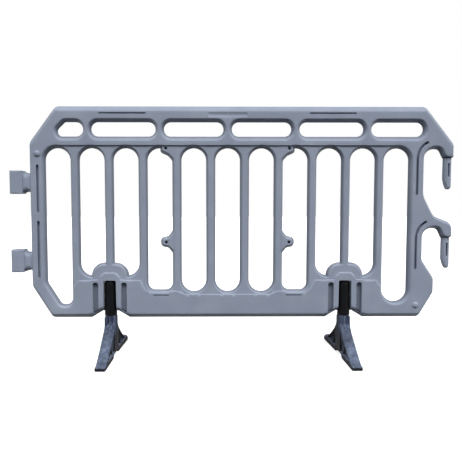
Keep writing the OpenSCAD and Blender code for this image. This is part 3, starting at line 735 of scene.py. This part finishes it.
# webs in the hollows, as both ends and half the width
webs = ((40, 112, 96, 20, 3.4), (88, 20, 118, 64, 3.0))
post = {"low": 28.0, "high": 26.3, "foot": 183.0, "top": 338.7, "bore": 8.06, "spigot": 20.0, "spigotLength": 25.0}


def armTop(y):
    line = foot["line"] + (foot["frontToe"] if y < 0 else foot["rearToe"])
    return float(np.interp(abs(y), [p[0] for p in line], [p[1] for p in line]))


def armHalf(y, z):
    # the base is as wide as the toe asks, and what stands on it narrows to a ridge
    share = max(0.0, abs(y) - foot["neck"]) / (foot["reach"] - foot["neck"])
    toe = foot["frontHalf"] if y < 0 else foot["rearHalf"]
    half = foot["neck"] - 1.3 + (toe - foot["neck"] + 1.3) * share
    ridge = min(half, foot["ridgeHalf"])
    return half + (ridge - half) * float(softStep(np.array((z - foot["base"]) / 9)))


def pocketDepth(y, z):
    # hollow in the side of an arm, with webs that run down from the shoulder
    y = abs(y)
    edge = min(y - 42, 188 - y, z - foot["base"], (armTop(-y) - foot["rim"] - z) * 0.85)
    depth = foot["pocket"] * float(softStep(np.array(edge / 4)))
    for y0, z0, y1, z1, half in webs:
        t = max(0, min(1, ((y - y0) * (y1 - y0) + (z - z0) * (z1 - z0)) / ((y1 - y0) ** 2 + (z1 - z0) ** 2)))
        d = math.hypot(y - y0 - t * (y1 - y0), z - z0 - t * (z1 - z0))
        depth *= 1 - 0.75 * float(softStep(np.array((half - d) / 2.5 + 0.5)))
    return depth


def archLift(y):
    inwards = min(y - foot["archFrom"], foot["archTo"] - y)
    return foot["archRise"] * float(softStep(np.array(inwards / foot["archEnd"])))


def makeFoot(name, centreX, seed):
    reach = foot["reach"]
    # slices across the foot, with more of them at every bend
    marks = [p[0] for p in foot["line"] + foot["frontToe"]]
    marks += [24.6, 25.9, 27, 40, 42, 44, 46, 184, 186, 188, 241.5, 243, 245, 246.5, 248, 249, 249.7]
    archSteps = range(0, foot["archEnd"] + 1, 3)
    ys = list(np.linspace(-reach + 0.4, reach - 0.4, foot["slices"])) + [s * y for s in (-1, 1) for y in marks]
    ys += [foot["archFrom"] + d for d in archSteps] + [foot["archTo"] - d for d in archSteps]
    ys = sorted(set(ys))
    sideRows = foot["sideRows"]
    rows = []
    for y in ys:
        top = armTop(y)
        endRound = max(0.0, 1 - (reach - abs(y)) / 5) ** 2
        short = max(0.0, foot["toeCorner"] - reach + abs(y))
        inset = foot["toeCorner"] - math.sqrt(foot["toeCorner"] ** 2 - short ** 2)
        low = archLift(y) + 3 * endRound
        base = armHalf(y, low) - inset
        loop = [(0, low), (base * 0.5, low), (base - 3, low), (base - 0.8, low + 0.8)]
        for k in range(sideRows):
            z = low + 3 + (top - 9 - low - 3) * k / (sideRows - 1)
            loop.append((armHalf(y, z) - inset - pocketDepth(y, z), z))
        ridge = armHalf(y, top) - inset
        loop += [(ridge - 0.5, top - 6.8), (ridge - 1.8, top - 4.2), (ridge - 4.2, top - 2.0),
                 (ridge - 8, top - 0.6), (ridge * 0.35, top + 0.1), (0, top + 0.3)]
        full = loop + [(-x, z) for x, z in loop[-2:0:-1]]
        rows.append([(x, y, min(z, foot["top"])) for x, z in full])
    n = len(rows[0])
    faces = facesBetween(len(rows), n)
    faces.append(tuple(range(n)))
    faces.append(tuple((len(rows) - 1) * n + k for k in range(n)))
    # rough cast skin, roughest in the hollows and least at the shoulder
    rough = []
    for x, y, z in [point for row in rows for point in row]:
        v = Vector((x / 14 + seed, y / 14, z / 14))
        calm = float(softStep(np.array((foot["top"] - 3 - z) / 30)))
        hollow = min(1.0, max(0.0, (armHalf(y, z) - 3 - abs(x)) / 5)) * (0 if z < 1.5 else 1)
        amount = (0.3 + 0.8 * hollow) * calm
        push = amount * (noise.noise(v) + 0.5 * noise.noise(v * 2.9))
        lift = 0.6 * noise.noise(v * 0.8) * calm if z > 14 else 0
        sideways = push * (1 if x > 0 else -1) if abs(x) > 4 else 0
        rough.append((centreX + x + sideways, y, z + lift))
    arms = buildObject(name, rough, faces)
    fixNormals(arms)
    r, top, recess = foot["neck"], foot["top"], foot["recess"]
    profile = [(0, recess - 3), (r - 4, recess - 3), (r, recess + 3), (r, 90), (r, 140), (r, top - 2.6),
               (r - 0.7, top - 0.8), (r - 2, top), (0, top)]
    cutOrJoin(arms, latheObject("column", profile, (centreX, 0, 0), 64), "UNION")
    # recess for the bolt head, bolt hole and seat of the post's spigot
    wide, hole, seat, spigotFoot = foot["recessR"], 9, post["spigot"], top - post["spigotLength"]
    profile = [(0, -4), (wide + 1, -4), (wide + 1, 15), (wide, 16.2), (wide, recess), (hole, recess),
               (hole, spigotFoot), (seat, spigotFoot), (seat, top + 4), (0, top + 4)]
    cutOrJoin(arms, latheObject("drill", profile, (centreX, 0, 0), 48), "DIFFERENCE")
    smoothByAngle(arms, 38)
    return arms


def makePost(name, centreX):
    low, high, seat, top = post["low"], post["high"], post["foot"], post["top"]
    bore, spigot, spigotFoot = post["bore"], post["spigot"], post["foot"] - post["spigotLength"]
    profile = [(bore, spigotFoot), (spigot, spigotFoot), (spigot, seat + 0.02), (low - 0.8, seat + 0.02),
               (low, seat + 0.9)]
    profile += [(low + (high - low) * t, seat + 0.9 + (top - 12.2 - seat) * t) for t in np.linspace(0.05, 1, 14)]
    # a domed top with a fine ring round it
    profile += [(high - 0.4, top - 10.6), (high - 1.5, top - 9.6), (high - 1.6, top - 8.6), (high - 0.7, top - 7.6),
                (high - 0.9, top - 4.2), (high - 2.4, top - 2.0), (high - 5.0, top - 0.8), (high - 9.0, top - 0.2),
                (high - 13.0, top), (bore, top)]
    obj = latheObject(name, profile, (centreX, 0, 0), 72)
    smoothByAngle(obj, 45)
    return obj


feet, posts = [], []
for side, body in ((-1, "left_foot"), (1, "right_foot")):
    word = body.split("_")[0]
    f = makeFoot(word + "RubberFoot", side * footX, 5.0 + side)
    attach(f, body)
    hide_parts("foot_" + word)
    p = makePost(word + "SwivelPost", side * footX)
    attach(p, body)
    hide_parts("swivel_post_" + word)
    feet.append(f)
    posts.append(p)
print("feet and posts done:", [len(f.data.polygons) for f in feet])


# finishes
def srgb(r, g, b):
    shares = [c / 255 for c in (r, g, b)]
    return tuple(c / 12.92 if c <= 0.04045 else ((c + 0.055) / 1.055) ** 2.4 for c in shares) + (1.0,)


def startMaterial(name):
    mat = bpy.data.materials.new(name)
    mat.use_nodes = True
    tree = mat.node_tree
    shader = tree.nodes["Principled BSDF"]
    place = tree.nodes.new("ShaderNodeTexCoord")
    return mat, tree, shader, place.outputs["Object"]


def addNoise(tree, vector, scale, detail=3.0, roughness=0.5, stretch=None):
    if stretch:
        mapping = tree.nodes.new("ShaderNodeMapping")
        mapping.inputs["Scale"].default_value = stretch
        tree.links.new(vector, mapping.inputs["Vector"])
        vector = mapping.outputs["Vector"]
    node = tree.nodes.new("ShaderNodeTexNoise")
    node.inputs["Scale"].default_value = scale
    node.inputs["Detail"].default_value = detail
    node.inputs["Roughness"].default_value = roughness
    tree.links.new(vector, node.inputs["Vector"])
    return node.outputs["Fac"]


def addRamp(tree, value, stops):
    ramp = tree.nodes.new("ShaderNodeValToRGB")
    tree.links.new(value, ramp.inputs["Fac"])
    first, last = ramp.color_ramp.elements[0], ramp.color_ramp.elements[1]
    first.position, first.color = stops[0]
    last.position, last.color = stops[-1]
    for position, colour in stops[1:-1]:
        e = ramp.color_ramp.elements.new(position)
        e.color = colour
    return ramp.outputs["Color"]


def mixColours(tree, factor, a, b, blend="MIX"):
    node = tree.nodes.new("ShaderNodeMix")
    node.data_type = "RGBA"
    node.blend_type = blend
    if isinstance(factor, float):
        node.inputs[0].default_value = factor
    else:
        tree.links.new(factor, node.inputs[0])
    for socket, value in ((node.inputs[6], a), (node.inputs[7], b)):
        if isinstance(value, tuple):
            socket.default_value = value
        else:
            tree.links.new(value, socket)
    return node.outputs[2]


def addBump(tree, shader, layers):
    previous = None
    for value, strength, distance in layers:
        bump = tree.nodes.new("ShaderNodeBump")
        bump.inputs["Strength"].default_value = strength
        bump.inputs["Distance"].default_value = distance
        tree.links.new(value, bump.inputs["Height"])
        if previous:
            tree.links.new(previous, bump.inputs["Normal"])
        previous = bump.outputs["Normal"]
    tree.links.new(previous, shader.inputs["Normal"])


def addMath(tree, operation, first, second=None):
    # the second value is a number or another node's output
    node = tree.nodes.new("ShaderNodeMath")
    node.operation = operation
    tree.links.new(first, node.inputs[0])
    if isinstance(second, float):
        node.inputs[1].default_value = second
    elif second:
        tree.links.new(second, node.inputs[1])
    return node.outputs[0]


def scaled(tree, value, low, high):
    node = tree.nodes.new("ShaderNodeMapRange")
    node.inputs["To Min"].default_value = low
    node.inputs["To Max"].default_value = high
    tree.links.new(value, node.inputs["Value"])
    return node.outputs["Result"]


# the last colour is a darker grey, painted into the recesses as shade
greyPlastic = {"dark": (138, 147, 165), "mid": (144, 153, 171), "light": (151, 160, 177), "scuff": (178, 184, 196),
               "paintedShade": (96, 102, 114)}


def setSurface(tree, shader, colour, roughness, specular):
    tree.links.new(colour, shader.inputs["Base Color"])
    tree.links.new(roughness, shader.inputs["Roughness"])
    shader.inputs["Specular IOR Level"].default_value = specular


def greyPlasticMaterial(name, paintedShadeInRecesses):
    mat, tree, shader, place = startMaterial(name)
    cloud = addNoise(tree, place, 7.0, 4.0)
    colour = addRamp(tree, cloud, [(0.3, srgb(*greyPlastic["dark"])), (0.52, srgb(*greyPlastic["mid"])),
                                   (0.72, srgb(*greyPlastic["light"]))])
    speck = addNoise(tree, place, 900.0, 2.0)
    colour = mixColours(tree, scaled(tree, speck, 0.0, 0.10), colour, srgb(*greyPlastic["scuff"]))
    streak = addNoise(tree, place, 60.0, 4.0, 0.6, (1.0, 1.0, 0.12))
    streakMask = addRamp(tree, streak, [(0.62, (0, 0, 0, 1)), (0.80, (1, 1, 1, 1))])
    colour = mixColours(tree, scaled(tree, streakMask, 0.0, 0.14), colour, srgb(*greyPlastic["scuff"]))
    if paintedShadeInRecesses:
        # painted shade darkens the slits, channels and openings, towards the middle of the thickness
        axes = tree.nodes.new("ShaderNodeSeparateXYZ")
        tree.links.new(place, axes.inputs["Vector"])
        depth = addMath(tree, "ABSOLUTE", axes.outputs["Y"])
        paintedShadeMask = addRamp(tree, scaled(tree, depth, 0.0, 30.0),
                       [(0.30, (0.55, 0.55, 0.55, 1)), (0.60, (0, 0, 0, 1))])
        # the bevel along the top, above about 1.09 m, is kept free of the painted shade
        halfHeight = addMath(tree, "MULTIPLY", axes.outputs["Z"], 0.5)
        below = addRamp(tree, halfHeight, [(0.5425, (1, 1, 1, 1)), (0.5475, (0, 0, 0, 1))])
        paintedShadeMask = mixColours(tree, 1.0, paintedShadeMask, below, "MULTIPLY")
        colour = mixColours(tree, paintedShadeMask, colour, srgb(*greyPlastic["paintedShade"]))
    setSurface(tree, shader, colour, scaled(tree, addNoise(tree, place, 34.0, 5.0), 0.42, 0.60), 0.18)
    grain = addNoise(tree, place, 620.0, 3.0, 0.6)
    dent = addNoise(tree, place, 24.0, 2.0)
    addBump(tree, shader, [(dent, 0.10, 0.004), (grain, 0.16, 0.0006)])
    return mat


def blackPlasticMaterial():
    mat, tree, shader, place = startMaterial("blackPostPlastic")
    cloud = addNoise(tree, place, 26.0, 4.0)
    colour = addRamp(tree, cloud, [(0.3, srgb(7, 7, 9)), (0.7, srgb(15, 16, 19))])
    streak = addNoise(tree, place, 220.0, 3.0, 0.6, (1.0, 1.0, 0.04))
    # a lighter colour in fine vertical streaks is a painted sheen
    sheenMask = addRamp(tree, streak, [(0.58, (0, 0, 0, 1)), (0.78, (1, 1, 1, 1))])
    colour = mixColours(tree, scaled(tree, sheenMask, 0.0, 0.16), colour, srgb(50, 54, 64))
    setSurface(tree, shader, colour, scaled(tree, streak, 0.34, 0.58), 0.07)
    addBump(tree, shader, [(streak, 0.12, 0.0006), (addNoise(tree, place, 700.0), 0.08, 0.0004)])
    return mat


def rubberMaterial():
    mat, tree, shader, place = startMaterial("recycledRubber")
    cloud = addNoise(tree, place, 30.0, 6.0, 0.62)
    black = addRamp(tree, cloud, [(0.32, srgb(20, 20, 23)), (0.68, srgb(46, 47, 54))])
    # the neck is smoother and streaked from the mould
    height = tree.nodes.new("ShaderNodeSeparateXYZ")
    tree.links.new(place, height.inputs["Vector"])
    neckMask = addRamp(tree, height.outputs["Z"], [(0.085, (0, 0, 0, 1)), (0.135, (1, 1, 1, 1))])
    streaks = addRamp(tree, addNoise(tree, place, 120.0, 3.0, 0.55, (1.0, 1.0, 0.08)),
                      [(0.36, srgb(30, 34, 50)), (0.5, srgb(52, 60, 80)), (0.68, srgb(92, 102, 124))])
    black = mixColours(tree, neckMask, black, streaks)
    # blue-grey that stands for dust and for a painted sky sheen
    dustAndSkySheen = addRamp(tree, addNoise(tree, place, 55.0, 6.0, 0.7),
                   [(0.28, srgb(66, 74, 92)), (0.5, srgb(98, 109, 132)), (0.75, srgb(140, 150, 168))])
    # dust and scuffs lie on what faces up, together with a painted sky sheen, most of both low on the arms
    geo = tree.nodes.new("ShaderNodeNewGeometry")
    split = tree.nodes.new("ShaderNodeSeparateXYZ")
    tree.links.new(geo.outputs["Normal"], split.inputs["Vector"])
    up = addRamp(tree, split.outputs["Z"], [(0.25, (0, 0, 0, 1)), (0.62, (1, 1, 1, 1))])
    patch = addRamp(tree, addNoise(tree, place, 18.0, 5.0, 0.65),
                    [(0.2, (0.25, 0.25, 0.25, 1)), (0.55, (1, 1, 1, 1))])
    amount = mixColours(tree, 1.0, up, patch, "MULTIPLY")
    low = addRamp(tree, height.outputs["Z"], [(0.055, (1, 1, 1, 1)), (0.14, (0.25, 0.25, 0.25, 1))])
    amount = mixColours(tree, 1.0, amount, low, "MULTIPLY")
    colour = mixColours(tree, amount, black, dustAndSkySheen)
    worn = addRamp(tree, addNoise(tree, place, 130.0, 4.0, 0.7), [(0.60, (0, 0, 0, 1)), (0.78, (1, 1, 1, 1))])
    colour = mixColours(tree, scaled(tree, worn, 0.0, 0.45), colour, srgb(120, 128, 144))
    setSurface(tree, shader, colour, scaled(tree, cloud, 0.62, 0.9), 0.1)
    addBump(tree, shader, [(addNoise(tree, place, 95.0, 6.0, 0.65), 0.5, 0.0022),
                           (addNoise(tree, place, 480.0, 4.0, 0.7), 0.35, 0.0009)])
    return mat


def zincMaterial():
    mat, tree, shader, place = startMaterial("zincPlating")
    spangle = tree.nodes.new("ShaderNodeTexVoronoi")
    spangle.inputs["Scale"].default_value = 260.0
    tree.links.new(place, spangle.inputs["Vector"])
    colour = addRamp(tree, spangle.outputs["Distance"], [(0.0, srgb(188, 190, 194)), (0.6, srgb(158, 161, 166))])
    stain = addRamp(tree, addNoise(tree, place, 70.0, 5.0), [(0.55, (0, 0, 0, 1)), (0.75, (1, 1, 1, 1))])
    colour = mixColours(tree, scaled(tree, stain, 0.0, 0.4), colour, srgb(122, 112, 100))
    tree.links.new(colour, shader.inputs["Base Color"])
    shader.inputs["Metallic"].default_value = 1.0
    tree.links.new(scaled(tree, addNoise(tree, place, 120.0, 3.0), 0.3, 0.5), shader.inputs["Roughness"])
    addBump(tree, shader, [(addNoise(tree, place, 800.0), 0.12, 0.0003)])
    return mat


# the panel gets painted shade in its recesses, the pins and plugs get none
panelGrey = greyPlasticMaterial("greyPolyethylene", True)
pinGrey = greyPlasticMaterial("greyPinPlastic", False)
black, rubber, zinc = blackPlasticMaterial(), rubberMaterial(), zincMaterial()


def dress(obj, mat):
    obj.data.materials.clear()
    obj.data.materials.append(mat)


dress(greyPanel, panelGrey)
for obj in (upperPin, lowerPin, upperDome, lowerDome):
    dress(obj, pinGrey)
for obj in feet:
    dress(obj, rubber)
for obj in posts:
    dress(obj, black)
steelNodes = ("threaded_insert", "pivot_bolt", "head_washer", "spring_washer")
for name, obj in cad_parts.items():
    if name.startswith(steelNodes):
        dress(obj, zinc)
    if name.startswith("thrust_washer"):
        dress(obj, black)
print("finishes done")

# floor, light and camera
stage = {"size": 40.0, "white": 1.0, "bounce": 0.03, "glow": 0.72, "skyGlow": 0.035}


def whiteToCamera(tree, output, seen, unseen):
    # camera, glossy and transmission rays get the white shader, all others the dark one
    rays = tree.nodes.new("ShaderNodeLightPath").outputs
    share = addMath(tree, "MAXIMUM", rays["Is Camera Ray"], rays["Is Glossy Ray"])
    share = addMath(tree, "MAXIMUM", share, rays["Is Transmission Ray"])
    mix = tree.nodes.new("ShaderNodeMixShader")
    for value, socket in zip((share, unseen, seen), mix.inputs):
        tree.links.new(value, socket)
    tree.links.new(mix.outputs[0], output)


def makeFloor():
    s = stage["size"] / 2
    mesh = bpy.data.meshes.new("paleFloor")
    mesh.from_pydata([(-s, -s, 0), (s, -s, 0), (s, s, 0), (-s, s, 0)], [], [(0, 1, 2, 3)])
    obj = bpy.data.objects.new("paleFloor", mesh)
    bpy.context.scene.collection.objects.link(obj)
    mat = bpy.data.materials.new("paleFloor")
    mat.use_nodes = True
    tree = mat.node_tree
    shader = tree.nodes["Principled BSDF"]
    shader.inputs["Base Color"].default_value = (0.6, 0.6, 0.6, 1)
    shader.inputs["Roughness"].default_value = 0.9
    shader.inputs["Emission Color"].default_value = (1, 1, 1, 1)
    shader.inputs["Emission Strength"].default_value = stage["glow"]
    dark = tree.nodes.new("ShaderNodeBsdfDiffuse")
    dark.inputs["Color"].default_value = (stage["bounce"],) * 3 + (1,)
    whiteToCamera(tree, tree.nodes["Material Output"].inputs["Surface"], shader.outputs[0], dark.outputs[0])
    mesh.materials.append(mat)
    obj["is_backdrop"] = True


makeFloor()

world = bpy.data.worlds.new("studio")
bpy.context.scene.world = world
world.use_nodes = True
tree = world.node_tree
soft = tree.nodes["Background"]
soft.inputs["Color"].default_value = (0.9, 0.95, 1.0, 1)
soft.inputs["Strength"].default_value = stage["skyGlow"]
bright = tree.nodes.new("ShaderNodeBackground")
bright.inputs["Color"].default_value = (1, 1, 1, 1)
bright.inputs["Strength"].default_value = stage["white"]
whiteToCamera(tree, tree.nodes["World Output"].inputs["Surface"], bright.outputs[0], soft.outputs[0])


def addSun(name, azimuth, elevation, strength, angle):
    light = bpy.data.lights.new(name, "SUN")
    light.energy = strength
    light.angle = math.radians(angle)
    obj = bpy.data.objects.new(name, light)
    a, e = math.radians(azimuth), math.radians(elevation)
    towards = Vector((math.sin(a) * math.cos(e), -math.cos(a) * math.cos(e), math.sin(e)))
    obj.rotation_euler = towards.to_track_quat("Z", "Y").to_euler()
    bpy.context.scene.collection.objects.link(obj)


addSun("main", 10, 50, 2.1, 25)
addSun("leftSide", -65, 35, 1.3, 40)
addSun("rightSide", 65, 35, 1.6, 40)
addSun("rear", 180, 26, 1.6, 40)

# the camera stands where the photo was taken from, worked out from the evenly spaced bars
view = {"sensor": 36, "lens": 39.68, "shift": (0.0270, 0.0011), "place": (-0.0877, -2.3067, 0.7031), "down": 3.470,
        "turn": -0.557, "farthest": 200}
camera = bpy.data.cameras.new("photoCamera")
camera.sensor_width = view["sensor"]
camera.lens = view["lens"]
camera.shift_x, camera.shift_y = view["shift"]
camera.clip_end = view["farthest"]
cameraObject = bpy.data.objects.new("photoCamera", camera)
cameraObject.location = view["place"]
cameraObject.rotation_euler = (math.radians(90 - view["down"]), 0, math.radians(view["turn"]))
bpy.context.scene.collection.objects.link(cameraObject)
bpy.context.scene.camera = cameraObject
bpy.context.scene.view_settings.view_transform = "Standard"

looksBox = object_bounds()
for word, corners in (("cad box", cadBox), ("visual box", looksBox)):
    print(word, [[round(c, 4) for c in v] for v in corners])
